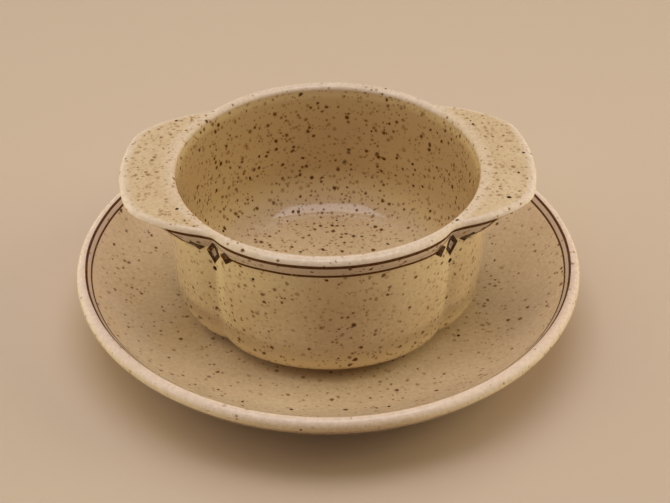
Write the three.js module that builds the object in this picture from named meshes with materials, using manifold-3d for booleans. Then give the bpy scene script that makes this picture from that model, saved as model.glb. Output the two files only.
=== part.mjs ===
// Soup cup with two lug handles on its matching saucer, glazed stoneware.
// Millimetres, +Z up. The origin is the middle of the saucer's foot ring, on the table.
// X runs through the two lugs and Y from the front of the cup to its back.

import * as THREE from 'three';
import { mergeVertices } from 'three/addons/utils/BufferGeometryUtils.js';
import Module from 'manifold-3d';

const wasm = await Module();
wasm.setup();

const { clamp, lerp, smoothstep, degToRad } = THREE.MathUtils;

// Cup bowl, heights measured from the face of its foot ring
const cupHeight = 54.2;
const mouthRadius = 50.9;
const lipWidth = 4.7;
const lipInnerRound = 1.9;
const lipOuterRound = 2.2;
const lipFlat = 0.2;
const lipFillet = 1.5;
const lipProud = 0.6;
const wallTaper = 5.0;
const wallThickness = 3.0;
const insideFloorHeight = 7.0;
const coveRound = 15.0;
const heelHeight = 3.2;
const heelRound = 5.8;
const cupFootInset = 13.0;
const cupFootWidth = 4.0;
const cupFootRecess = 2.0;
const footChamfer = 0.8;

// Four grooves part the outside of the bowl into lobes, lean to the front and back near the lip
// and run out over it as shallow dents. The lobes under the lugs swell towards the foot.
const grooveAngle = degToRad(41.25);
const grooveLean = degToRad(4.25);
const grooveDepth = 2.0;
const grooveSpread = degToRad(7.0);
const grooveRound = degToRad(1.6);
const lipDentDepth = 1.6;
const lipDentSpread = degToRad(5.0);
const sideLobeFootSwell = 2.5;
const sideLobeLipSwell = 0.6;
const sideLobeFullness = 0.7;

// Lug handles, flush with the lip
const lugLength = 14.0;
const lugThickness = 2.8;
const lugRootAngle = degToRad(42.85);
const lugSideSlope = degToRad(21.2);
const lugCornerRound = 12.0;
const lugRootBlend = 1.6;
const lugFillet = 8.0;
const lugRootEdge = 0.6;
const fullEdgeOverhang = 6.0;
const lugEndTrim = degToRad(1.2);
const slipGap = 0.3;
const seatEdgeRound = 0.5;

// Saucer
const saucerRadius = 87.4;
const saucerFloorHeight = 7.6;
const saucerSideRadius = 40.3;
const saucerRimSlope = degToRad(52.0);
const saucerRimRound = 1.8;
const saucerWall = 4.6;
const saucerFootInset = 5.4;
const saucerFootWidth = 4.5;
const saucerFootRecess = 2.6;
const wellDepth = 0.6;
const wellClearance = 1.5;
const wellSlopeWidth = 1.0;

// Facets round the axis, and steps along each stretch of a section
const bowlFacets = 96;
const lugFacets = 192;
const saucerFacets = 72;
const heelSteps = 3;
const wallSteps = 3;
const bendSteps = 4;
const edgeSteps = 4;
const lipSteps = 3;
const coveSteps = 5;
const saucerSideSteps = 7;
const saucerRimSteps = 6;

// Glaze, as seen on each piece
const creamGlaze = '#c9ac80';
const lugGlaze = '#ccae8c';
const saucerGlaze = '#bd9f78';
const glazeRoughness = 0.3;

// Sizes that follow from the ones above
const quarterTurn = Math.PI / 2;
const lipRadius = mouthRadius + lipWidth;
const wallTopRadius = lipRadius - lipProud;
const wallFootRadius = wallTopRadius - wallTaper;
const insideFootRadius = wallFootRadius - wallThickness;
const cupFootRadius = wallFootRadius - cupFootInset;
const lugReach = lipRadius + lugLength;
const lugEndAngle = lugRootAngle - lugEndTrim;
const seatHeight = saucerFloorHeight - wellDepth;

const point = (radius, height) => new THREE.Vector2(radius, height);

// Points of an arc in a section, both ends included
function arc(centre, radius, from, to, steps) {
  const points = [];
  for (let step = 0; step <= steps; step++) {
    const turn = lerp(from, to, step / steps);
    points.push(point(centre.x + radius * Math.cos(turn), centre.y + radius * Math.sin(turn)));
  }
  return points;
}

// The smaller of two lengths, with the corner where they cross rounded over the blend length
function smoothMin(a, b, blend) {
  const near = Math.max(blend - Math.abs(a - b), 0);
  return Math.min(a, b) - near * near / (4 * blend);
}

function smoothMax(a, b, blend) {
  return -smoothMin(-a, -b, blend);
}

// Angle of a direction from the middle line of the nearer lug, zero to a quarter turn
function angleFromLug(angle) {
  return Math.atan2(Math.abs(Math.sin(angle)), Math.abs(Math.cos(angle)));
}

// Angle of the groove at a share of the wall's rise: upright low down, leaning with the cube of the rise
function grooveCentre(rise) {
  return grooveAngle + grooveLean * rise ** 3;
}

// Share of the groove's full depth, which falls off on both sides of its rounded bottom
function grooveShare(angle, rise, spread) {
  const away = Math.hypot(angleFromLug(angle) - grooveCentre(rise), grooveRound) - grooveRound;
  return Math.exp(-away / spread);
}

// Radius of the bowl's outside: a taper, less the grooves, plus the swell of the lobes under the lugs
function wallRadius(angle, height) {
  const rise = clamp((height - heelHeight) / (cupHeight - heelHeight), 0, 1);
  const groove = grooveDepth * grooveShare(angle, rise, grooveSpread);
  const acrossLobe = Math.min(angleFromLug(angle) / grooveCentre(rise), 1);
  const sideLobe = Math.cos(acrossLobe * quarterTurn) ** sideLobeFullness;
  const swell = lerp(sideLobeFootSwell, sideLobeLipSwell, rise) * sideLobe;
  return lerp(wallFootRadius, wallTopRadius, rise) - groove + swell;
}

// Dent of the lip where a groove runs out over it
function lipDent(angle) {
  return lipDentDepth * grooveShare(angle, 1, lipDentSpread);
}

// Plan of the bowl's own lip: round, with four dents
function lipOutline(angle) {
  return lipRadius - lipDent(angle);
}

// Plan of the lip with both lugs: straight lug sides that close in outwards, a lug tip on a larger circle,
// every corner rounded, and the same dents
function outlineRadius(angle) {
  const turn = angleFromLug(angle);
  const sideDistance = lipRadius * Math.sin(lugRootAngle + lugSideSlope);
  const side = sideDistance / Math.sin(turn + lugSideSlope);
  const lug = smoothMin(lugReach, side, lugCornerRound);
  return smoothMax(lipRadius, lug, lugRootBlend) - lipDent(angle);
}

// How far an edge stands out over the wall
function edgeOverhang(angle, edgeRadius) {
  return Math.max(edgeRadius - wallRadius(angle, cupHeight), 0);
}

// Round of the outer edge: the lip's own, down to half the lug's thickness, as the flat top leaves room for
function edgeRoundOf(angle, edgeRadius) {
  const under = smoothstep(edgeOverhang(angle, edgeRadius), 0, fullEdgeOverhang);
  const room = edgeRadius - mouthRadius - lipInnerRound - lipFlat;
  return Math.min(lerp(lipOuterRound, lugThickness / 2, under), room);
}

// Top of the cup's outside at one angle: a fillet that bends out from the wall under the lip or the lug,
// then the round edge up to the flat top. The fillet starts proud of the wall by the given thickness.
function edgeSection(angle, edgeRadius, edgeRound, proud) {
  const overhang = edgeOverhang(angle, edgeRadius);
  const share = Math.min(overhang / (lugReach - lipRadius), 1);
  const under = smoothstep(overhang, 0, fullEdgeOverhang);
  const bendHeight = cupHeight - edgeRound * (1 + under) - lerp(lipFillet, lugFillet, Math.sqrt(share));
  const bendStart = point(wallRadius(angle, bendHeight) + proud, bendHeight);

  const edgeCentre = point(edgeRadius - edgeRound, cupHeight - edgeRound);
  const edgeStart = -quarterTurn * under;
  const edge = arc(edgeCentre, edgeRound, edgeStart, quarterTurn, edgeSteps);
  const pull = bendStart.distanceTo(edge[0]) / 2;
  const bend = new THREE.CubicBezierCurve(
    bendStart,
    point(bendStart.x, bendStart.y + pull),
    point(edge[0].x + pull * Math.sin(edgeStart), edge[0].y - pull * Math.cos(edgeStart)),
    edge[0],
  ).getPoints(bendSteps);
  return [...bend.slice(0, -1), ...edge];
}

// Outside of the bowl at one angle, from the foot ring up: heel, lobed wall and lip.
// Where a lug is stuck on, the lip's edge stays square for it.
function outsideSection(angle) {
  const lipEdge = lipOutline(angle);
  const underLug = angleFromLug(angle) < lugEndAngle;
  const lip = edgeSection(angle, lipEdge, underLug ? seatEdgeRound : edgeRoundOf(angle, lipEdge), 0);
  const heelRadius = wallRadius(angle, heelHeight + heelRound);
  const heelCentre = point(heelRadius - heelRound, heelHeight + heelRound);
  const wall = [];
  for (let step = 1; step < wallSteps; step++) {
    const height = lerp(heelCentre.y, lip[0].y, step / wallSteps);
    wall.push(point(wallRadius(angle, height), height));
  }
  return [
    point(cupFootRadius - footChamfer, 0),
    point(cupFootRadius, footChamfer),
    point(cupFootRadius + footChamfer, heelHeight),
    ...arc(heelCentre, heelRound, -quarterTurn, 0, heelSteps),
    ...wall,
    ...lip,
  ];
}

// Inside of the bowl, round at every height: lip, wall, cove and floor
function insideSection() {
  const lipCentre = point(mouthRadius + lipInnerRound, cupHeight - lipInnerRound);
  const coveCentre = point(insideFootRadius - coveRound, insideFloorHeight + coveRound);
  const wall = [];
  for (let step = 1; step < wallSteps; step++) {
    const rise = 1 - step / wallSteps;
    const radius = lerp(insideFootRadius, mouthRadius, rise * rise);
    wall.push(point(radius, lerp(coveCentre.y, lipCentre.y, rise)));
  }
  return [
    ...arc(lipCentre, lipInnerRound, quarterTurn, 2 * quarterTurn, lipSteps),
    ...wall,
    ...arc(coveCentre, coveRound, 0, -quarterTurn, coveSteps),
    point(0, insideFloorHeight),
  ];
}

function bowlSection(angle) {
  const footInside = cupFootRadius - cupFootWidth;
  return [
    point(0, cupFootRecess),
    point(footInside - cupFootRecess, cupFootRecess),
    point(footInside, 0),
    ...outsideSection(angle),
    ...insideSection(),
  ];
}

// Coupe saucer: foot ring, outside and inside of the side, a round rim, and a well that the cup stands in
function saucerSection() {
  const sideCentre = point(
    saucerRadius - saucerRimRound - (saucerSideRadius + saucerRimRound) * Math.sin(saucerRimSlope),
    saucerFloorHeight + saucerSideRadius,
  );
  const fromSide = (distance, slope) =>
    point(sideCentre.x + distance * Math.sin(slope), sideCentre.y - distance * Math.cos(slope));
  const outside = [];
  for (let step = 0; step < saucerSideSteps; step++) {
    const share = step / saucerSideSteps;
    const wall = lerp(saucerWall, 2 * saucerRimRound, share * share);
    outside.push(fromSide(saucerSideRadius + wall, share * saucerRimSlope));
  }
  const rimCentre = fromSide(saucerSideRadius + saucerRimRound, saucerRimSlope);
  const rimStart = saucerRimSlope - quarterTurn;
  const inside = arc(sideCentre, saucerSideRadius, rimStart, -quarterTurn, saucerSideSteps);
  const footRadius = sideCentre.x - saucerFootInset;
  const footInside = footRadius - saucerFootWidth;
  const wellRadius = cupFootRadius + wellClearance;
  return [
    point(0, saucerFootRecess),
    point(footInside - saucerFootRecess, saucerFootRecess),
    point(footInside, 0),
    point(footRadius - footChamfer, 0),
    point(footRadius, footChamfer),
    ...outside,
    ...arc(rimCentre, saucerRimRound, rimStart, rimStart + 2 * quarterTurn, saucerRimSteps),
    ...inside.slice(1),
    point(wellRadius + wellSlopeWidth, saucerFloorHeight),
    point(wellRadius, seatHeight),
    point(0, seatHeight),
  ];
}

// A revolve about Z whose section may change with the angle
function revolve(sectionAt, facets) {
  const rows = sectionAt(0).length;
  const geometry = new THREE.LatheGeometry(sectionAt(0), facets);
  const position = geometry.attributes.position;
  for (let step = 0; step <= facets; step++) {
    const angle = (step % facets) * 2 * Math.PI / facets;
    sectionAt(angle).forEach(({ x, y }, row) => {
      position.setXYZ(step * rows + row, x * Math.cos(angle), x * Math.sin(angle), y);
    });
  }
  return weld(geometry);
}

// One closed skin: shared corners merged, and the empty triangles at the axis left out
function weld(geometry) {
  geometry.deleteAttribute('normal');
  geometry.deleteAttribute('uv');
  const welded = mergeVertices(geometry);
  const corners = welded.index.array;
  const kept = [];
  for (let first = 0; first < corners.length; first += 3) {
    const [a, b, c] = corners.slice(first, first + 3);
    if (a !== b && b !== c && c !== a) kept.push(a, b, c);
  }
  welded.setIndex(kept);
  welded.computeVertexNormals();
  return welded;
}

function solid(geometry) {
  return new wasm.Manifold(new wasm.Mesh({
    numProp: 3,
    vertProperties: geometry.attributes.position.array,
    triVerts: Uint32Array.from(geometry.index.array),
  }));
}

function geometryOf(manifold) {
  const mesh = manifold.getMesh();
  const geometry = new THREE.BufferGeometry();
  geometry.setAttribute('position', new THREE.BufferAttribute(mesh.vertProperties, mesh.numProp));
  geometry.setIndex(new THREE.BufferAttribute(mesh.triVerts, 1));
  geometry.computeVertexNormals();
  return geometry;
}

// One lug: the lip with its lugs, less the bowl and the slip joint, between the lug's two ends
function lugGeometry() {
  const beyond = lugReach * 2;
  const lugRound = (angle) => edgeRoundOf(angle, outlineRadius(angle));
  const lipWithLugs = (angle) => [
    point(0, cupHeight - lugThickness - lugFillet),
    ...edgeSection(angle, outlineRadius(angle), lugRound(angle), slipGap + lugRootEdge),
    point(0, cupHeight),
  ];
  const bowlAndSlip = (angle) => [
    point(0, 0),
    ...outsideSection(angle).map(({ x, y }) => point(x + slipGap, y)),
    point(lipOutline(angle) + slipGap, cupHeight),
    point(lipOutline(angle) + slipGap, cupHeight + lugThickness),
    point(0, cupHeight + lugThickness),
  ];
  const sectorPlan = new THREE.Shape([
    point(0, 0),
    point(beyond, -beyond * Math.tan(lugEndAngle)),
    point(beyond, beyond * Math.tan(lugEndAngle)),
  ]);
  const sector = new THREE.ExtrudeGeometry(sectorPlan, { depth: cupHeight * 2, bevelEnabled: false });
  const bothLugs = solid(revolve(lipWithLugs, lugFacets)).subtract(solid(revolve(bowlAndSlip, bowlFacets)));
  return geometryOf(bothLugs.intersect(solid(weld(sector))));
}

function piece(name, geometry, colour) {
  const glaze = { color: colour, roughness: glazeRoughness, metalness: 0 };
  const mesh = new THREE.Mesh(geometry, new THREE.MeshStandardMaterial(glaze));
  mesh.name = name;
  return mesh;
}

// The cup stands in the saucer's well
const cup = new THREE.Group();
cup.position.z = seatHeight;
cup.add(piece('cup_bowl', revolve(bowlSection, bowlFacets), creamGlaze));
const lug = lugGeometry();
const rightLug = piece('right_lug_handle', lug, lugGlaze);
const leftLug = piece('left_lug_handle', lug.clone(), lugGlaze);
leftLug.rotation.z = Math.PI;
cup.add(rightLug, leftLug);

const soupCup = new THREE.Group();
soupCup.add(piece('saucer', revolve(saucerSection, saucerFacets), saucerGlaze));
soupCup.add(cup);

export default soupCup;
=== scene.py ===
import math

import bpy
import numpy as np
from mathutils import Matrix, Quaternion, Vector


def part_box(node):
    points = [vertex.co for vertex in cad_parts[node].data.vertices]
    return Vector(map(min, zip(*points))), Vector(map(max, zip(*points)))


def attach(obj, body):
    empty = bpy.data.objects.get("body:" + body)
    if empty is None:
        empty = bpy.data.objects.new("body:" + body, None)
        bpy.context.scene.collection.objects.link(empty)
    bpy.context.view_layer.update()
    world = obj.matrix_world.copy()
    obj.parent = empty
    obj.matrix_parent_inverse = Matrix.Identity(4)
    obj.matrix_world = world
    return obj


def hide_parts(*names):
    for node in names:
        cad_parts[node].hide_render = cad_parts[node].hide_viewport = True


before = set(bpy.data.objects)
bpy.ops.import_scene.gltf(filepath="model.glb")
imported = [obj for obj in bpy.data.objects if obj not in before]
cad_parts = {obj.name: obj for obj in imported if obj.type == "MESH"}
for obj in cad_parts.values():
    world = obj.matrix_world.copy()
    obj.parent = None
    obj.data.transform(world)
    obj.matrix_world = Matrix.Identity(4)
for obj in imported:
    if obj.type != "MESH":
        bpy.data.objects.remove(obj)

scene = bpy.context.scene
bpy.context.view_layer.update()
mm = 0.001
print("frame:", sorted(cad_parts))


# sRGB colour as it looks on paper, written as three numbers of 0 to 255, to Blender's linear colour
def tint(red, green, blue):
    c = np.array([red, green, blue]) / 255
    linear = np.where(c <= 0.04045, c / 12.92, ((c + 0.055) / 1.055) ** 2.4)
    return (*linear.tolist(), 1.0)


# Shape helpers: every stretch of a section is a grid, rows along the section and columns round the axis

# a, plus the share t of the way to b
def lerp(a, b, t):
    return a + (b - a) * t


# 0 up to low, 1 from high on, and three t squared less two t cubed between them
def smoothStep(x, low, high):
    t = np.clip((x - low) / (high - low), 0, 1)
    return t * t * (3 - 2 * t)


# the smaller of two lengths, less a parabola where they come within the blend length of each other
def smoothMin(a, b, blend):
    near = np.clip(blend - np.abs(a - b), 0, None)
    return np.minimum(a, b) - near * near / (4 * blend)


# the larger of two lengths, plus the same parabola
def smoothMax(a, b, blend):
    return -smoothMin(-a, -b, blend)


# rows of a circle arc: centre plus radius times cosine and sine, from one angle to the other
def arcRows(centreR, centreZ, radius, start, end, steps, around):
    t = np.linspace(0, 1, steps + 1)[:, None]
    angle = lerp(start, end, t) * np.ones(around)
    return centreR + radius * np.cos(angle), centreZ + radius * np.sin(angle)


# rows of a straight stretch, its first end left out
def lineRows(r0, z0, r1, z1, steps, around):
    t = np.linspace(0, 1, steps + 1)[1:, None] * np.ones(around)
    return lerp(r0, r1, t), lerp(z0, z1, t)


# the same rows without the first, which the stretch before has already
def afterFirst(rows):
    return [values[1:] for values in rows]


# rows of a foot ring: a flat recess, a quarter round out to the ring, then the ring's two rounded edges
def footRows(piece, foot, around):
    footIn = foot - piece["footWidth"]
    recess, edge, steps = piece["footRecess"], piece["footRound"], piece["steps"]
    quarter = recess / 2
    return [
        lineRows(0, recess, footIn - quarter, recess, steps["recess"], around),
        afterFirst(arcRows(footIn - quarter, quarter, quarter, np.pi / 2, 0, steps["recessEdge"], around)),
        arcRows(footIn + edge, edge, edge, np.pi, 1.5 * np.pi, steps["footEdge"], around),
        arcRows(foot - edge, edge, edge, -np.pi / 2, 0, steps["footEdge"], around),
    ]


# all stretches of a section in order, with the number of rows up to the end of each
def stackRows(stretches, around):
    r, z = (np.vstack([stretch[axis] * np.ones(around) for stretch in stretches]) for axis in (0, 1))
    return r, z, np.cumsum([len(stretch[0]) for stretch in stretches])


# rows of a cubic Bezier curve between two points with their two handles
def bezierRows(p0, p1, p2, p3, steps):
    t = np.linspace(0, 1, steps + 1)[:, None]
    weights = ((1 - t) ** 3, 3 * (1 - t) ** 2 * t, 3 * (1 - t) * t * t, t ** 3)
    return [sum(w * p[axis] for w, p in zip(weights, (p0, p1, p2, p3))) for axis in (0, 1)]


# a hand's waver round the axis: a sum of sines, each with its number of waves, its start and its share
def handWaver(theta, size, waves):
    return size * sum(share * np.sin(count * theta + start) for count, start, share in waves)


# length along the section from one row, growing towards the first row and negative past the other way
def runFrom(r, z, row):
    step = np.hypot(np.diff(r, axis=0), np.diff(z, axis=0))
    along = np.vstack([np.zeros(r.shape[1]), np.cumsum(step, axis=0)])
    return along[row] - along


# Ring mesh: point = (r cos, r sin, z) for each row and column; both ends close to a point on the axis
def ringMesh(name, r, z, theta, fields):
    rows, around = r.shape
    rings = np.stack([r * np.cos(theta), r * np.sin(theta), z], -1).reshape(-1, 3)
    low, high = rows * around, rows * around + 1
    points = np.vstack([rings, [[0, 0, z[0].mean()], [0, 0, z[-1].mean()]]]) * mm
    i = np.arange(rows - 1)[:, None] * around
    j = np.arange(around)[None]
    k = (j + 1) % around
    quads = np.stack([i + j, i + k, i + around + k, i + around + j], -1).reshape(-1, 4)
    first = np.stack([np.full(around, low), k[0], j[0]], -1)
    last = np.stack([np.full(around, high), (rows - 1) * around + j[0], (rows - 1) * around + k[0]], -1)
    mesh = bpy.data.meshes.new(name)
    mesh.from_pydata(points.tolist(), [], quads.tolist() + first.tolist() + last.tolist())
    mesh.polygons.foreach_set("use_smooth", np.ones(len(mesh.polygons), bool))
    for field, values in fields.items():
        attribute = mesh.attributes.new(field, "FLOAT", "POINT")
        flat = np.concatenate([values.ravel(), [values[0].mean(), values[-1].mean()]])
        attribute.data.foreach_set("value", flat.astype(np.float32))
    mesh.update()
    piece = bpy.data.objects.new(name, mesh)
    scene.collection.objects.link(piece)
    print(name, len(mesh.vertices), "points", len(mesh.polygons), "faces")
    return piece


# Cup with its lugs, one skin of glaze over the bowl and both handles. Millimetres and degrees;
# a pair is the start and the end of a fade.
cupLow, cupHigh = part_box("cup_bowl")
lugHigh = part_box("right_lug_handle")[1]
cup = dict(
    seat=cupLow.z / mm, height=(cupHigh.z - cupLow.z) / mm, lip=cupHigh.x / mm, reach=lugHigh.x / mm,
    lipWidth=4.7, innerRound=1.9, outerRound=2.2, lipFlat=0.2, lipFillet=2.6, lipProud=0.6,
    taper=5.0, wall=3.0, floor=7.0, cove=15.0, heel=3.2, heelRound=6.8,
    footInset=13.0, footWidth=4.0, footRecess=2.0, footRound=0.8,
    grooveAt=41.25, grooveLean=4.25, grooveDepth=2.0, grooveSpread=7.0, grooveRound=1.6,
    lipGroove=1.6, lipGrooveSpread=5.0, swellFoot=2.5, swellLip=0.6, swellPower=0.7,
    lugRoot=42.85, lugSlope=21.2, lugCorner=12.0, rootBlend=1.6, lugRoll=1.8, lugEdge=0.5, lugTilt=20.0,
    lugFillet=8.0, thinEdge=6.0, rootEdge=4.0, fullEdge=14.0, rootDrop=7.0,
    # thin pale glaze: over the lip, down its inside, weaker beside a lug, and on the edges of both
    lugTop=(-1.9, 0.5), paleInside=(1.6, 3.4), paleBesideLug=0.6, paleEdge=0.6, paleBelow=(3.2, 4.4),
    paleOnLip=-0.8, paleOnLug=-1.8, paleLugTop=0.1,
    # painted light: a streak beside each groove, the heel, under the lip, the floor; then the start of the
    # inside's painted shade
    streakBeside=2.6, streakWide=2.6, streakLight=0.45, streakDrop=(8, 13), heelRise=(4, 13),
    lipLight=0.22, lipDrop=(6, 8), lipDropEnd=(8, 24), floorLight=0.18, floorRise=(0.5, 4), insideShadeDrop=(2, 8),
    specksOutside=0.58, specksInside=1.0, specksLostPale=0.8, specksLostLug=0.3, bareBelow=1.0,
    waver=0.12, waves=((2, 0.7, 1.0), (3, 2.1, 0.6), (5, 0.0, 0.4)), waverFrom=5.0,
    # grid: columns round the axis, the radius of the last ring, and steps along each stretch of the section
    around=600, lastRing=1.0, steps=dict(
        recess=5, recessEdge=5, footEdge=4, footSide=3, heel=10, wall=18, bend=14, edge=8, roll=8, top=8,
        inner=8, inside=16, cove=14, floor=8),
)


# degrees from the middle line of the nearer lug, 0 to 90
def lugTurn(theta):
    return np.degrees(np.arctan2(np.abs(np.sin(theta)), np.abs(np.cos(theta))))


# the groove's own angle: upright at the foot, leaning to the front near the lip with the cube of the rise
def grooveTurn(rise):
    return cup["grooveAt"] + cup["grooveLean"] * rise ** 3


# share of the groove's full depth: falls off exponentially from a rounded bottom
def grooveShare(turn, rise, spread):
    away = np.hypot(turn - grooveTurn(rise), cup["grooveRound"]) - cup["grooveRound"]
    return np.exp(-away / spread)


# outside of the wall: a taper from heel to lip, less the four grooves, plus the swell under the lugs
def wallRadius(theta, z):
    turn = lugTurn(theta)
    rise = np.clip((z - cup["heel"]) / (cup["height"] - cup["heel"]), 0, 1)
    groove = cup["grooveDepth"] * grooveShare(turn, rise, cup["grooveSpread"])
    sideLobe = np.cos(np.minimum(turn / grooveTurn(rise), 1) * np.pi / 2) ** cup["swellPower"]
    swell = lerp(cup["swellFoot"], cup["swellLip"], rise) * sideLobe
    return cup["lip"] - cup["lipProud"] - cup["taper"] * (1 - rise) - groove + swell


# plan of lip and lugs: round lip, straight lug sides that close in outwards, a round tip, blended corners,
# and a dent where each groove runs out over the lip
def outlineRadius(theta):
    turn = lugTurn(theta)
    slope = math.radians(cup["lugSlope"])
    sideDistance = cup["lip"] * math.sin(math.radians(cup["lugRoot"]) + slope)
    side = sideDistance / np.sin(np.radians(turn) + slope)
    outline = smoothMax(cup["lip"], smoothMin(cup["reach"], side, cup["lugCorner"]), cup["rootBlend"])
    return outline - cup["lipGroove"] * grooveShare(turn, 1, cup["lipGrooveSpread"])


# section of the cup at each angle, from the middle of the underside out, up, over the lip and down inside
def cupRows(theta):
    n, steps = len(theta), cup["steps"]
    height, inner = cup["height"], cup["innerRound"]
    mouth = cup["lip"] - cup["lipWidth"]
    foot = cup["lip"] - cup["lipProud"] - cup["taper"] - cup["footInset"]
    outline = outlineRadius(theta)
    overhang = np.clip(outline - wallRadius(theta, height), 0, None)
    thin = smoothStep(overhang, 0, cup["thinEdge"])
    under = smoothStep(overhang, cup["rootEdge"], cup["fullEdge"])
    # the top rolls off with one radius as far as a tilt, then a smaller one goes round the edge
    tilt = math.radians(cup["lugTilt"]) * thin
    roll = np.minimum(lerp(cup["outerRound"], cup["lugRoll"], thin), outline - mouth - inner - cup["lipFlat"])
    edge = np.minimum(lerp(cup["outerRound"], cup["lugEdge"], thin), roll)
    rollR = outline - edge - (roll - edge) * np.cos(tilt)
    edgeR = rollR + (roll - edge) * np.cos(tilt)
    edgeZ = height - roll + (roll - edge) * np.sin(tilt)
    share = np.clip(overhang / (cup["reach"] - cup["lip"]), 0, 1)
    # the lug's underside comes down deepest beside its root
    fillet = lerp(cup["lipFillet"], cup["lugFillet"], np.sqrt(share))
    fillet = fillet + 4 * cup["rootDrop"] * share * (1 - share)
    bendZ = edgeZ - edge * under - fillet
    heelTop = cup["heel"] + cup["heelRound"]
    heelR = wallRadius(theta, heelTop)
    edgeStart = -np.pi / 2 * under
    edgeRows = arcRows(edgeR, edgeZ, edge, edgeStart, tilt, steps["edge"], n)
    rollRows = arcRows(rollR, height - roll, roll, tilt, np.pi / 2, steps["roll"], n)
    bendR = wallRadius(theta, bendZ)
    # both handles of the bend are half as long as the straight way from the wall to the edge
    pull = np.hypot(edgeRows[0][0] - bendR, edgeRows[1][0] - bendZ) / 2
    bend = bezierRows(
        (bendR, bendZ), (bendR, bendZ + pull),
        (edgeRows[0][0] + pull * np.sin(edgeStart), edgeRows[1][0] - pull * np.cos(edgeStart)),
        (edgeRows[0][0], edgeRows[1][0]), steps["bend"])
    wallZ = lerp(heelTop, bendZ, np.linspace(0, 1, steps["wall"] + 1)[1:-1, None])
    coveZ = cup["floor"] + cup["cove"]
    innerFoot = cup["lip"] - cup["lipProud"] - cup["taper"] - cup["wall"]
    insideRise = np.linspace(1, 0, steps["inside"] + 1)[1:-1, None] * np.ones(n)
    stretches = footRows(cup, foot, n) + [
        lineRows(foot, cup["footRound"], foot + cup["footRound"], cup["heel"], steps["footSide"], n),
        arcRows(heelR - cup["heelRound"], heelTop, cup["heelRound"], -np.pi / 2, 0, steps["heel"], n),
        (wallRadius(theta, wallZ), wallZ),
        bend,
        afterFirst(edgeRows),
        afterFirst(rollRows),
        lineRows(rollR, height, mouth + inner, height, steps["top"], n),
        afterFirst(arcRows(mouth + inner, height - inner, inner, np.pi / 2, np.pi, steps["inner"], n)),
        (lerp(innerFoot, mouth, insideRise ** 2), lerp(coveZ, height - inner, insideRise)),
        arcRows(innerFoot - cup["cove"], coveZ, cup["cove"], 0, -np.pi / 2, steps["cove"], n),
        lineRows(innerFoot - cup["cove"], cup["floor"], cup["lastRing"], cup["floor"], steps["floor"], n),
    ]
    r, z, ends = stackRows(stretches, n)
    # the foot ring ends with stretch 3, the roll with stretch 9 and the flat top with stretch 10
    return r, z, thin, dict(foot=ends[3], top=ends[9] - 1, lip=ends[10] - 1)


# the cup's skin: its section at every angle, and at each point the values that the glaze reads
def makeCup():
    theta = np.linspace(0, 2 * np.pi, cup["around"], endpoint=False)
    r, z, thin, rows = cupRows(theta)
    turn = lugTurn(theta) * np.ones_like(r)
    run = runFrom(r, z, rows["top"])
    inRun = -runFrom(r, z, rows["lip"])
    index = np.arange(len(r))[:, None] * np.ones_like(r)
    # thin pale glaze on the round lip and along the lugs' edges
    onLug = smoothStep(r - cup["lip"], *cup["lugTop"])
    ring = (1 - onLug) * (1 - smoothStep(inRun, *cup["paleInside"])) * lerp(1, cup["paleBesideLug"], thin)
    edge = smoothStep(run, lerp(cup["paleOnLip"], cup["paleOnLug"], thin), cup["paleEdge"])
    below = 1 - smoothStep(run, *cup["paleBelow"])
    pale = np.where(run > cup["paleEdge"], below, np.maximum(ring, edge))
    rise = np.clip((z - cup["heel"]) / (cup["height"] - cup["heel"]), 0, 1)
    fromGroove = turn - grooveTurn(rise)
    beside = (fromGroove - cup["streakBeside"]) / cup["streakWide"]
    outside = (index > rows["foot"]) * (index < rows["top"])
    # painted light: paler at the heel where light bounces up from the saucer, in a strip beside each groove
    # where side light catches the lobe, below the painted lines where the lip's shadow falls, and on the
    # floor inside where the light from above falls
    depth = cup["height"] - z
    inside = index > rows["lip"]
    groove = cup["streakLight"] * np.exp(-beside ** 2) * smoothStep(depth, *cup["streakDrop"])
    heel = 1 - smoothStep(z - cup["heel"], *cup["heelRise"])
    lipFade = 1 - smoothStep(depth, *cup["lipDropEnd"])
    underLip = cup["lipLight"] * smoothStep(depth, *cup["lipDrop"]) * lipFade
    basin = cup["floorLight"] * inside * (1 - smoothStep(z - cup["floor"], *cup["floorRise"]))
    paintedLight = np.maximum(np.maximum(groove, np.maximum(heel, underLip)) * outside, basin)
    # the inside holds the most specks, the lugs' tops a few less, the pale lip hardly any
    inner = smoothStep(index, rows["top"] - 1, rows["top"] + 1)
    lugTop = inner * onLug
    speckled = lerp(cup["specksOutside"], cup["specksInside"], inner)
    speckled = speckled * (1 - cup["specksLostPale"] * pale) * (1 - cup["specksLostLug"] * lugTop)
    # the painting keeps to one height below the lip
    drop = np.where(run > 0, depth, run)
    insideRise = np.clip((z - cup["floor"]) / (cup["height"] - cup["floor"]), 0, 1)
    fields = dict(
        lipRun=drop * mm, lugTurn=turn, grooveAcross=np.radians(fromGroove) * cup["lip"] * mm,
        edgePale=np.maximum(pale, cup["paleLugTop"] * lugTop), speckled=speckled, paintedLight=paintedLight,
        bareClay=(index <= rows["foot"]) * (z < cup["bareBelow"]) * 1.0,
        # painted shade inside the bowl: none on the floor, growing up the wall to the lip
        insideShade=inside * smoothStep(inRun, *cup["insideShadeDrop"]) * insideRise,
    )
    # the hand-finished lip and wall waver a little
    waver = handWaver(theta, cup["waver"], cup["waves"]) * np.clip(z / cup["height"], 0, 1)
    return ringMesh("glazed_cup", r + waver * (r > cup["waverFrom"]), z + cup["seat"], theta, fields)


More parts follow.
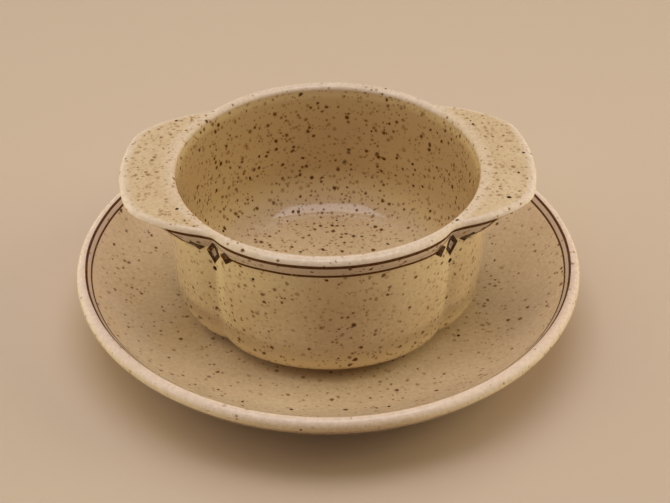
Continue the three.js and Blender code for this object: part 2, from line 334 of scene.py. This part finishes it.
# Saucer of coupe form with its upturned rim. Millimetres and degrees.
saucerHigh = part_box("saucer")[1]
saucer = dict(
    radius=saucerHigh.x / mm, floor=7.6, side=40.3, rimSlope=52.0, rim=2.3, wall=5.4,
    footInset=4.5, footWidth=4.5, footRecess=2.6, footRound=0.8,
    well=38.5, wellDepth=0.6, wellSlope=1.0, ringDrift=1.8,
    paleBelow=(-6.2, -3.6), paleInside=(-0.9, 0.7), specks=0.24, specksLostPale=0.6, bareBelow=1.0,
    waver=0.15, waves=((2, 1.9, 1.0), (3, 0.4, 0.5)),
    around=540, lastRing=1.0, steps=dict(
        recess=6, recessEdge=5, footEdge=4, wall=24, rim=16, side=26, floor=4, wellSlope=3, well=6),
)


# section of the saucer: foot ring, outside of the side, round rim, inside of the side, floor and well
def saucerRows(theta):
    n, steps = len(theta), saucer["steps"]
    slope = math.radians(saucer["rimSlope"])
    rim, floor, well = saucer["rim"], saucer["floor"], saucer["well"]
    sideR = saucer["radius"] - rim - (saucer["side"] + rim) * math.sin(slope)
    sideZ = floor + saucer["side"]
    foot = sideR - saucer["footInset"]
    # the wall thins with the square of the way up to the rim
    share = np.linspace(0, 1, steps["wall"] + 1)[:-1, None] * np.ones(n)
    reach = saucer["side"] + lerp(saucer["wall"], 2 * rim, share ** 2)
    rimR = sideR + (saucer["side"] + rim) * math.sin(slope)
    rimZ = sideZ - (saucer["side"] + rim) * math.cos(slope)
    rimStart = slope - np.pi / 2
    wellEdge = well + saucer["wellSlope"]
    seat = floor - saucer["wellDepth"]
    stretches = footRows(saucer, foot, n) + [
        (sideR + reach * np.sin(share * slope), sideZ - reach * np.cos(share * slope)),
        arcRows(rimR, rimZ, rim, rimStart, rimStart + np.pi, steps["rim"], n),
        afterFirst(arcRows(sideR, sideZ, saucer["side"], rimStart, -np.pi / 2, steps["side"], n)),
        lineRows(sideR, floor, wellEdge, floor, steps["floor"], n),
        lineRows(wellEdge, floor, well, seat, steps["wellSlope"], n),
        lineRows(well, seat, saucer["lastRing"], seat, steps["well"], n),
    ]
    r, z, ends = stackRows(stretches, n)
    # the foot ring ends with stretch 3 and the rim with stretch 5
    return r, z, dict(foot=ends[3], rim=ends[5] - 1)


# the saucer's skin, made in the same way
def makeSaucer():
    theta = np.linspace(0, 2 * np.pi, saucer["around"], endpoint=False)
    r, z, rows = saucerRows(theta)
    run = -runFrom(r, z, rows["rim"])  # grows inwards from the inner side of the rim
    index = np.arange(len(r))[:, None] * np.ones_like(r)
    pale = (1 - smoothStep(run, *saucer["paleInside"])) * smoothStep(run, *saucer["paleBelow"])
    # the painted ring lies a little further down inside the rim at the front
    ringRun = run - saucer["ringDrift"] * np.clip(-np.sin(theta), 0, 1)
    fields = dict(
        rimRun=ringRun * mm, edgePale=pale,
        bareClay=(index <= rows["foot"]) * (z < saucer["bareBelow"]) * 1.0,
        speckled=saucer["specks"] * (1 - saucer["specksLostPale"] * pale),
    )
    waver = handWaver(theta, saucer["waver"], saucer["waves"])
    lift = np.clip((z - saucer["floor"]) / (saucer["side"] - saucer["floor"]), 0, 1)
    return ringMesh("glazed_saucer", r + waver * lift, z, theta, fields)


# Shader helpers

# a new node with its settings; an input given as a socket is linked, anything else is its fixed value
def addNode(tree, kind, inputs=None, **settings):
    made = tree.nodes.new(kind)
    for name, value in settings.items():
        setattr(made, name, value)
    for name, value in (inputs or {}).items():
        if isinstance(value, bpy.types.NodeSocket):
            tree.links.new(value, made.inputs[name])
        else:
            made.inputs[name].default_value = value
    return made


def maths(tree, operation, a, b=0.0, c=0.0, clamp=False):
    made = addNode(tree, "ShaderNodeMath", {0: a, 1: b, 2: c}, operation=operation, use_clamp=clamp)
    return made.outputs[0]


def ramp(tree, value, low, high, toLow=0.0, toHigh=1.0):
    inputs = {"Value": value, "From Min": low, "From Max": high, "To Min": toLow, "To Max": toHigh}
    return addNode(tree, "ShaderNodeMapRange", inputs, interpolation_type="SMOOTHSTEP").outputs["Result"]


def mixColour(tree, amount, a, b):
    return addNode(tree, "ShaderNodeMix", {0: amount, 6: a, 7: b}, data_type="RGBA").outputs[2]


def noise(tree, vector, scale, detail=2.0, roughness=0.5):
    inputs = {"Vector": vector, "Scale": scale, "Detail": detail, "Roughness": roughness}
    return addNode(tree, "ShaderNodeTexNoise", inputs)


def fieldOf(tree, name):
    return addNode(tree, "ShaderNodeAttribute", attribute_name=name).outputs["Fac"]


def newGroup(name, inputs, outputs):
    group = bpy.data.node_groups.new(name, "ShaderNodeTree")
    for label, kind in inputs.items():
        group.interface.new_socket(name=label, in_out="INPUT", socket_type=kind)
    for label, kind in outputs.items():
        group.interface.new_socket(name=label, in_out="OUTPUT", socket_type=kind)
    return group, group.nodes.new("NodeGroupInput").outputs, group.nodes.new("NodeGroupOutput").inputs


def useGroup(tree, group, inputs):
    return addNode(tree, "ShaderNodeGroup", inputs, node_tree=group).outputs


floatSocket, vectorSocket = "NodeSocketFloat", "NodeSocketVector"
noiseSpan = (0.3, 0.7)  # most of a noise's values lie between these

# Iron specks in the clay that melt through the glaze. scale = cells per metre, share = how many cells
# hold a speck, small and large = its radius in cells, soft = the width of its edge in cells.
specks = dict(
    pepper=dict(scale=560, share=0.95, small=0.13, large=0.62, soft=0.26),
    bold=dict(scale=260, share=0.85, small=0.08, large=0.22, soft=0.05),
    faint=dict(scale=720, share=0.95, small=0.18, large=0.5, soft=0.18),
    skew=1.5, weakest=0.45, ragged=0.0008, raggedScale=1100, clouds=55, fewest=0.6, most=1.4,
)


# speck = radius drawn for the cell, less the distance to the cell's point, sharpened
def speckLayer(tree, vector, amount, scale, share, small, large, soft):
    cell = addNode(tree, "ShaderNodeTexVoronoi", {"Vector": vector, "Scale": scale}, feature="F1")
    draw = addNode(tree, "ShaderNodeSeparateColor", {"Color": cell.outputs["Color"]})
    present = maths(tree, "LESS_THAN", draw.outputs[0], maths(tree, "MULTIPLY", amount, share))
    size = maths(tree, "POWER", draw.outputs[1], specks["skew"])
    radius = maths(tree, "MULTIPLY", maths(tree, "MULTIPLY_ADD", size, large - small, small), present)
    depth = maths(tree, "SUBTRACT", radius, cell.outputs["Distance"])
    strength = ramp(tree, draw.outputs[2], 0.0, 1.0, specks["weakest"], 1.0)
    return maths(tree, "MULTIPLY", maths(tree, "DIVIDE", depth, soft, clamp=True), strength)


def ironSpecks():
    group, given, out = newGroup(
        "iron_specks", {"Vector": vectorSocket, "Amount": floatSocket},
        {"Pepper": floatSocket, "Bold": floatSocket, "Faint": floatSocket})
    drift = noise(group, given["Vector"], specks["raggedScale"]).outputs["Color"]
    centred = addNode(group, "ShaderNodeVectorMath", {0: drift, 1: (0.5, 0.5, 0.5)}, operation="SUBTRACT")
    shake = addNode(
        group, "ShaderNodeVectorMath", {0: centred.outputs[0], "Scale": specks["ragged"]}, operation="SCALE")
    ragged = addNode(
        group, "ShaderNodeVectorMath", {0: given["Vector"], 1: shake.outputs[0]}, operation="ADD").outputs[0]
    # the specks gather in loose clouds
    gathered = noise(group, given["Vector"], specks["clouds"]).outputs["Fac"]
    cloud = ramp(group, gathered, *noiseSpan, specks["fewest"], specks["most"])
    amount = maths(group, "MULTIPLY", given["Amount"], cloud)
    for name in ("Pepper", "Bold", "Faint"):
        group.links.new(speckLayer(group, ragged, amount, **specks[name.lower()]), out[name])
    return group


# Drift: broad patches where the glaze is thicker. Grain: its fine mottle. Peel: the faint orange peel of its
# surface. Each is a noise of one scale per metre, detail and roughness.
patches = dict(
    Drift=dict(scale=38, detail=3.0, roughness=0.55), Grain=dict(scale=700, detail=3.0, roughness=0.6),
    Peel=dict(scale=260, detail=1.0, roughness=0.4),
)


def glazeDrift():
    group, given, out = newGroup("glaze_drift", {"Vector": vectorSocket}, dict.fromkeys(patches, floatSocket))
    for name, patch in patches.items():
        value = noise(group, given["Vector"], **patch).outputs["Fac"]
        group.links.new(value if name == "Peel" else ramp(group, value, *noiseSpan), out[name])
    return group


# A painted line: full where the run lies within half a width of its centre, with a hand's waver. Metres.
brushLine = dict(handScale=90, hand=0.0003, edge=(-0.00008, 0.00012), fullest=1.0, thinnest=0.95)


def paintedLine():
    group, given, out = newGroup(
        "painted_line",
        {"Vector": vectorSocket, "Run": floatSocket, "Centre": floatSocket, "Half Width": floatSocket},
        {"Mask": floatSocket})
    hand = noise(group, given["Vector"], brushLine["handScale"]).outputs["Fac"]
    waver = maths(group, "MULTIPLY", maths(group, "SUBTRACT", hand, 0.5), brushLine["hand"])
    away = maths(group, "SUBTRACT", maths(group, "ADD", given["Run"], waver), given["Centre"])
    inside = maths(group, "SUBTRACT", given["Half Width"], maths(group, "ABSOLUTE", away))
    group.links.new(ramp(group, inside, *brushLine["edge"]), out["Mask"])
    return group


speckGroup, driftGroup, lineGroup = ironSpecks(), glazeDrift(), paintedLine()

# Finishes. Colours as they look in plain light, save the painted light and shade said below.
glaze = dict(
    cream=tint(208, 180, 144), thick=tint(200, 170, 132), thin=tint(220, 196, 176),
    # the pooled colour is painted light; the two lining colours are painted shade inside the bowl
    paintedLight=tint(228, 203, 158), insideShadeLow=tint(207, 177, 130), insideShadeHigh=tint(193, 159, 112),
    lowFrom=(0.03, 0.15), highFrom=(0.25, 0.7),
    # painted light: the saucer is the cup's own glaze painted lighter, for light its lamps don't bring
    saucer=tint(224, 198, 163), saucerThick=tint(216, 188, 151), saucerThin=tint(227, 201, 184),
    pepper=tint(112, 66, 10), bold=tint(52, 24, 2), faint=tint(144, 103, 52),
    brown=tint(82, 43, 8), deepBrown=tint(49, 21, 8), wash=tint(190, 165, 144),
    clay=tint(176, 142, 108), clayDark=tint(138, 98, 66),
    clayNoise=dict(scale=420, detail=4.0, roughness=0.7),
    # shares: thin glaze over thick patches, mottle, the three kinds of speck and the pepper's dark core
    thinOnThick=0.8, mottle=0.2, faintShare=0.95, pepperShare=0.9, core=0.5, coreFrom=0.5,
    bareRagged=0.2, bareEdge=(0.5, 0.65), bareRough=0.85,
    # surface: roughness, the coat that carries the gloss, the shine under it and the bump
    rough=(0.1, 0.15), sheen=(1.0, 0.92, 0.7, 1.0), ior=1.42, bodyShine=0.06, coat=0.9, coatRough=0.125,
    pit=-0.5, clayGrit=2.0, bump=0.12, bumpHeight=0.0004,
)
# runs in metres, turns in degrees, sag in metres between two distances from the groove in millimetres
cupLines = dict(
    upper=0.0021, upperWide=0.0011, lower=0.0063, lowerWide=0.0010,
    tip=30.2, tipSoft=0.5, full=39.0, swell=32.5, sag=0.0007, sagFrom=24.0, sagTo=8.0, washShare=0.9,
)
saucerLines = dict(outer=-0.0010, outerWide=0.0010, inner=0.0014, innerWide=0.0008, washShare=0.65)


# the shared body of both finishes: cream glaze in thicker and thinner patches, pale edges, a faint mottle
def glazeBase(tree, cream, thick, edge):
    at = addNode(tree, "ShaderNodeTexCoord").outputs["Object"]
    drift = useGroup(tree, driftGroup, {"Vector": at})
    speck = useGroup(tree, speckGroup, {"Vector": at, "Amount": fieldOf(tree, "speckled")})
    colour = mixColour(tree, drift["Drift"], cream, thick)
    patchy = ramp(tree, drift["Drift"], 0, 1, 1.0, glaze["thinOnThick"])
    colour = mixColour(tree, maths(tree, "MULTIPLY", fieldOf(tree, "edgePale"), patchy), colour, edge)
    colour = mixColour(tree, maths(tree, "MULTIPLY", drift["Grain"], glaze["mottle"]), colour, glaze["faint"])
    return at, drift, speck, colour


# how thickly the brush has laid the brown
def brushed(tree, drift, mask):
    cover = ramp(tree, drift["Grain"], 0, 1, brushLine["fullest"], brushLine["thinnest"])
    return maths(tree, "MULTIPLY", mask, cover)


# specks over the glaze and its painting, bare clay on the foot, then the gloss, peel and pits of the surface
def finishGlaze(tree, drift, speck, colour, at, painted):
    faint = maths(tree, "MULTIPLY", speck["Faint"], glaze["faintShare"])
    colour = mixColour(tree, faint, colour, glaze["faint"])
    pepper = maths(tree, "MULTIPLY", speck["Pepper"], glaze["pepperShare"])
    colour = mixColour(tree, pepper, colour, glaze["pepper"])
    core = ramp(tree, speck["Pepper"], glaze["coreFrom"], 1.0, 0.0, glaze["core"])
    colour = mixColour(tree, core, colour, glaze["bold"])
    colour = mixColour(tree, speck["Bold"], colour, glaze["bold"])
    ragged = maths(tree, "MULTIPLY", drift["Grain"], glaze["bareRagged"])
    bare = ramp(tree, maths(tree, "ADD", fieldOf(tree, "bareClay"), ragged), *glaze["bareEdge"])
    clayTone = noise(tree, at, **glaze["clayNoise"]).outputs["Fac"]
    colour = mixColour(tree, bare, colour, mixColour(tree, clayTone, glaze["clay"], glaze["clayDark"]))
    gloss = ramp(tree, drift["Grain"], 0, 1, *glaze["rough"])
    rough = maths(tree, "MAXIMUM", gloss, maths(tree, "MULTIPLY", bare, glaze["bareRough"]))
    height = maths(tree, "ADD", drift["Peel"], maths(tree, "MULTIPLY", speck["Bold"], glaze["pit"]))
    grit = maths(tree, "MULTIPLY", maths(tree, "MULTIPLY", clayTone, bare), glaze["clayGrit"])
    height = maths(tree, "ADD", height, grit)
    bump = addNode(tree, "ShaderNodeBump", {
        "Height": height, "Strength": glaze["bump"], "Distance": glaze["bumpHeight"]})
    shader = tree.nodes["Principled BSDF"]
    shader.inputs["IOR"].default_value = glaze["ior"]
    shader.inputs["Specular Tint"].default_value = glaze["sheen"]
    shader.inputs["Specular IOR Level"].default_value = glaze["bodyShine"]
    shader.inputs["Coat IOR"].default_value = glaze["ior"]
    shader.inputs["Coat Roughness"].default_value = glaze["coatRough"]
    # the gloss is a coat that is missing where iron or bare clay comes through
    iron = maths(tree, "MAXIMUM", painted, maths(tree, "MAXIMUM", speck["Pepper"], speck["Bold"]))
    coat = ramp(tree, maths(tree, "MAXIMUM", iron, bare), 0, 1, glaze["coat"], 0.0)
    tree.links.new(coat, shader.inputs["Coat Weight"])
    tree.links.new(colour, shader.inputs["Base Color"])
    tree.links.new(rough, shader.inputs["Roughness"])
    tree.links.new(bump.outputs["Normal"], shader.inputs["Normal"])


def newFinish(name):
    finish = bpy.data.materials.new(name)
    finish.use_nodes = True
    return finish, finish.node_tree


# Small ornament at each groove: a row of three lozenges, the middle one with a light heart, and a dot below.
# Millimetres across from the groove and down from the lip's edge; wide and tall are half sizes.
ornament = dict(
    lozenges=(
        dict(across=0.0, down=8.9, wide=3.2, tall=5.2),
        dict(across=-6.2, down=7.6, wide=2.9, tall=2.9),
        dict(across=6.2, down=7.6, wide=2.9, tall=2.9),
    ),
    heart=0.4, heartShare=0.6, lineEnd=7.0, lineSoft=0.4, dotAt=16.1, dot=0.95, crisp=0.04,
)


# lozenge = across / half width + down / half height, 1 on its outline
def lozengeReach(tree, across, down, lozenge):
    x = maths(tree, "ABSOLUTE", maths(tree, "SUBTRACT", across, lozenge["across"]))
    y = maths(tree, "ABSOLUTE", maths(tree, "SUBTRACT", down, lozenge["down"]))
    wide, tall = maths(tree, "DIVIDE", x, lozenge["wide"]), maths(tree, "DIVIDE", y, lozenge["tall"])
    return maths(tree, "ADD", wide, tall)


# the dot = distance to its middle, compared with its radius
def grooveOrnament(tree, across, down):
    crisp = ornament["crisp"]
    reaches = [lozengeReach(tree, across, down, lozenge) for lozenge in ornament["lozenges"]]
    y = maths(tree, "SUBTRACT", down, ornament["dotAt"])
    squares = maths(tree, "ADD", maths(tree, "MULTIPLY", across, across), maths(tree, "MULTIPLY", y, y))
    gap = maths(tree, "SQRT", squares)
    marks = ramp(tree, maths(tree, "DIVIDE", gap, ornament["dot"]), 1 + 2 * crisp, 1 - 2 * crisp)
    for reach in reaches:
        marks = maths(tree, "MAXIMUM", marks, ramp(tree, reach, 1 + crisp, 1 - crisp))
    return marks, ramp(tree, reaches[0], ornament["heart"] + crisp, ornament["heart"] - crisp)


def cupFinish():
    finish, tree = newFinish("cup_glaze")
    at, drift, speck, colour = glazeBase(tree, glaze["cream"], glaze["thick"], glaze["thin"])
    run, turn = fieldOf(tree, "lipRun"), fieldOf(tree, "lugTurn")
    # painted light: paler at the heel, beside the grooves, below the lip and on the floor inside
    colour = mixColour(tree, fieldOf(tree, "paintedLight"), colour, glaze["paintedLight"])
    # painted shade: the inside is lightest above its cove and darkens towards the lip, where the wall faces
    # away from the light
    insideShade = fieldOf(tree, "insideShade")
    colour = mixColour(tree, ramp(tree, insideShade, *glaze["lowFrom"]), colour, glaze["insideShadeLow"])
    colour = mixColour(tree, ramp(tree, insideShade, *glaze["highFrom"]), colour, glaze["insideShadeHigh"])
    across = maths(tree, "MULTIPLY", fieldOf(tree, "grooveAcross"), 1 / mm)
    down = maths(tree, "MULTIPLY", run, 1 / mm)
    # both lines close to a point under the lug, and the lower one stops at the ornament's outer lozenges
    taper = ramp(tree, turn, cupLines["tip"], cupLines["full"])
    past = ramp(tree, turn, cupLines["tip"], cupLines["tip"] + cupLines["tipSoft"])
    swell = ramp(tree, turn, cupLines["tip"], cupLines["swell"])
    aside = maths(tree, "ABSOLUTE", across)
    sag = ramp(tree, aside, cupLines["sagFrom"], cupLines["sagTo"], 0.0, cupLines["sag"])
    spread = maths(tree, "ADD", sag, cupLines["lower"] - cupLines["upper"])
    lowerAt = maths(tree, "ADD", maths(tree, "MULTIPLY", taper, spread), cupLines["upper"])
    upper = useGroup(tree, lineGroup, {
        "Vector": at, "Run": run, "Centre": cupLines["upper"],
        "Half Width": maths(tree, "MULTIPLY", swell, cupLines["upperWide"] / 2)})["Mask"]
    lower = useGroup(tree, lineGroup, {
        "Vector": at, "Run": run, "Centre": lowerAt,
        "Half Width": maths(tree, "MULTIPLY", swell, cupLines["lowerWide"] / 2)})["Mask"]
    clear = ramp(tree, aside, ornament["lineEnd"] - ornament["lineSoft"], ornament["lineEnd"])
    lower = maths(tree, "MULTIPLY", lower, clear)
    half = maths(tree, "MULTIPLY", maths(tree, "SUBTRACT", lowerAt, cupLines["upper"]), 0.5)
    middle = maths(tree, "ADD", half, cupLines["upper"])
    band = useGroup(tree, lineGroup, {"Vector": at, "Run": run, "Centre": middle, "Half Width": half})["Mask"]
    band = maths(tree, "MULTIPLY", maths(tree, "MULTIPLY", band, past), cupLines["washShare"])
    colour = mixColour(tree, band, colour, glaze["wash"])
    marks, heart = grooveOrnament(tree, across, down)
    drawn = maths(tree, "MULTIPLY", maths(tree, "MAXIMUM", upper, lower), past)
    colour = mixColour(tree, brushed(tree, drift, drawn), colour, glaze["brown"])
    colour = mixColour(tree, brushed(tree, drift, marks), colour, glaze["deepBrown"])
    colour = mixColour(tree, maths(tree, "MULTIPLY", heart, ornament["heartShare"]), colour, glaze["wash"])
    finishGlaze(tree, drift, speck, colour, at, maths(tree, "MAXIMUM", drawn, marks))
    return finish


def saucerFinish():
    finish, tree = newFinish("saucer_glaze")
    at, drift, speck, colour = glazeBase(tree, glaze["saucer"], glaze["saucerThick"], glaze["saucerThin"])
    run = fieldOf(tree, "rimRun")
    lines = []
    for key in ("outer", "inner"):
        half = saucerLines[key + "Wide"] / 2
        place = {"Vector": at, "Run": run, "Centre": saucerLines[key], "Half Width": half}
        lines.append(useGroup(tree, lineGroup, place)["Mask"])
    middle = (saucerLines["outer"] + saucerLines["inner"]) / 2
    half = (saucerLines["inner"] - saucerLines["outer"]) / 2
    band = useGroup(tree, lineGroup, {"Vector": at, "Run": run, "Centre": middle, "Half Width": half})["Mask"]
    colour = mixColour(tree, maths(tree, "MULTIPLY", band, saucerLines["washShare"]), colour, glaze["wash"])
    painted = brushed(tree, drift, maths(tree, "MAXIMUM", *lines))
    colour = mixColour(tree, painted, colour, glaze["brown"])
    finishGlaze(tree, drift, speck, colour, at, painted)
    return finish


cupPiece = makeCup()
cupPiece.data.materials.append(cupFinish())
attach(cupPiece, "cup")
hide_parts("cup_bowl", "right_lug_handle", "left_lug_handle")

saucerPiece = makeSaucer()
saucerPiece.data.materials.append(saucerFinish())
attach(saucerPiece, "saucer")
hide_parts("saucer")
print("pieces dressed")

# Plain pale floor
floorLook = dict(size=4.0, colour=tint(197, 173, 151), roughness=0.75)


def makeFloor():
    half = floorLook["size"] / 2
    mesh = bpy.data.meshes.new("floor")
    corners = [(-half, -half, 0), (half, -half, 0), (half, half, 0), (-half, half, 0)]
    mesh.from_pydata(corners, [], [(0, 1, 2, 3)])
    floor = bpy.data.objects.new("floor", mesh)
    scene.collection.objects.link(floor)
    finish, tree = newFinish("floor_paper")
    shader = tree.nodes["Principled BSDF"]
    shader.inputs["Base Color"].default_value = floorLook["colour"]
    shader.inputs["Roughness"].default_value = floorLook["roughness"]
    mesh.materials.append(finish)


makeFloor()

# Soft studio light: a soft box above, others high in front, behind and at the left, at both sides and low at
# both sides, two low ones behind and a dim room. Only the one above leaves a glint in the glaze. Places and
# sizes in metres. A light points at the middle, or at the aim's height over it, and beam is the degrees that
# its grid lets through, so that the low ones spare the floor.
lights = dict(
    above=dict(at=(0.0, 0.0, 1.0), size=(0.8, 0.45), watts=4.18, colour=(0.82, 0.83, 1.0), glint=True),
    frontHigh=dict(at=(0.0, -0.5, 0.866), size=(0.7, 0.4), watts=0.325, colour=(1.0, 0.8, 0.5)),
    backHigh=dict(at=(0.0, 0.469, 0.883), size=(0.7, 0.4), watts=1.58, colour=(0.85, 0.98, 1.0)),
    leftHigh=dict(at=(-0.469, 0.0, 0.883), size=(0.7, 0.4), watts=1.4, colour=(1.0, 0.96, 0.61)),
    rightSide=dict(at=(0.819, 0.0, 0.574), size=(0.7, 0.4), watts=3.04, colour=(1.0, 0.98, 0.65)),
    leftSide=dict(at=(-0.819, 0.0, 0.574), size=(0.7, 0.4), watts=1.23, colour=(1.0, 0.96, 0.86)),
    rightLow=dict(
        at=(1.0, 0.0, 0.07), size=(0.7, 0.12), watts=0.8, colour=(0.97, 1.0, 0.79), aim=0.246, beam=40.0),
    leftLow=dict(
        at=(-1.0, 0.0, 0.07), size=(0.7, 0.12), watts=0.81, colour=(0.92, 1.0, 0.73), aim=0.246, beam=40.0),
    backRight=dict(
        at=(0.788, 1.365, 0.278), size=(1.1, 0.64), watts=2.0, colour=(1.0, 0.75, 0.75),
        aim=0.416, beam=60.0),
    backLeft=dict(
        at=(-0.788, 1.365, 0.278), size=(1.1, 0.64), watts=2.43, colour=(1.0, 0.98, 0.7),
        aim=0.416, beam=60.0),
)
room = dict(colour=(1.0, 0.96, 0.85, 1.0), strength=0.197)


def makeLights():
    for name, light in lights.items():
        lamp = bpy.data.lights.new(name, "AREA")
        lamp.shape = "RECTANGLE"
        lamp.size, lamp.size_y = light["size"]
        lamp.energy = light["watts"]
        lamp.color = light["colour"]
        holder = bpy.data.objects.new(name, lamp)
        scene.collection.objects.link(holder)
        holder.location = light["at"]
        ahead = Vector((0, 0, light.get("aim", 0.0))) - Vector(light["at"])
        holder.rotation_euler = ahead.to_track_quat("-Z", "Y").to_euler()
        lamp.spread = math.radians(light.get("beam", 180.0))
        holder.visible_glossy = light.get("glint", False)
    world = bpy.data.worlds.new("room")
    scene.world = world
    world.use_nodes = True
    background = world.node_tree.nodes["Background"]
    background.inputs["Color"].default_value = room["colour"]
    background.inputs["Strength"].default_value = room["strength"]


makeLights()

# Camera at the photograph's angle: degrees, metres and millimetres of lens
view = dict(
    azimuth=-2.8, elevation=36.48, distance=0.5245, aim=(0.00235, 0.0, 0.02449), roll=-0.19,
    lens=80.6, sensor=36.0,
)


def makeCamera():
    turn = Matrix.Rotation(math.radians(view["azimuth"]), 3, "Z")
    up = math.radians(view["elevation"])
    aim = turn @ Vector(view["aim"])
    back = turn @ Vector((0, -math.cos(up), math.sin(up)))
    data = bpy.data.cameras.new("camera")
    data.lens = view["lens"]
    data.sensor_width = view["sensor"]
    camera = bpy.data.objects.new("camera", data)
    scene.collection.objects.link(camera)
    camera.location = aim + back * view["distance"]
    facing = (-back).to_track_quat("-Z", "Y") @ Quaternion((0, 0, 1), math.radians(view["roll"]))
    camera.rotation_euler = facing.to_euler()
    scene.camera = camera


makeCamera()
scene.view_settings.view_transform = "Standard"
print("floor, light and camera in place")
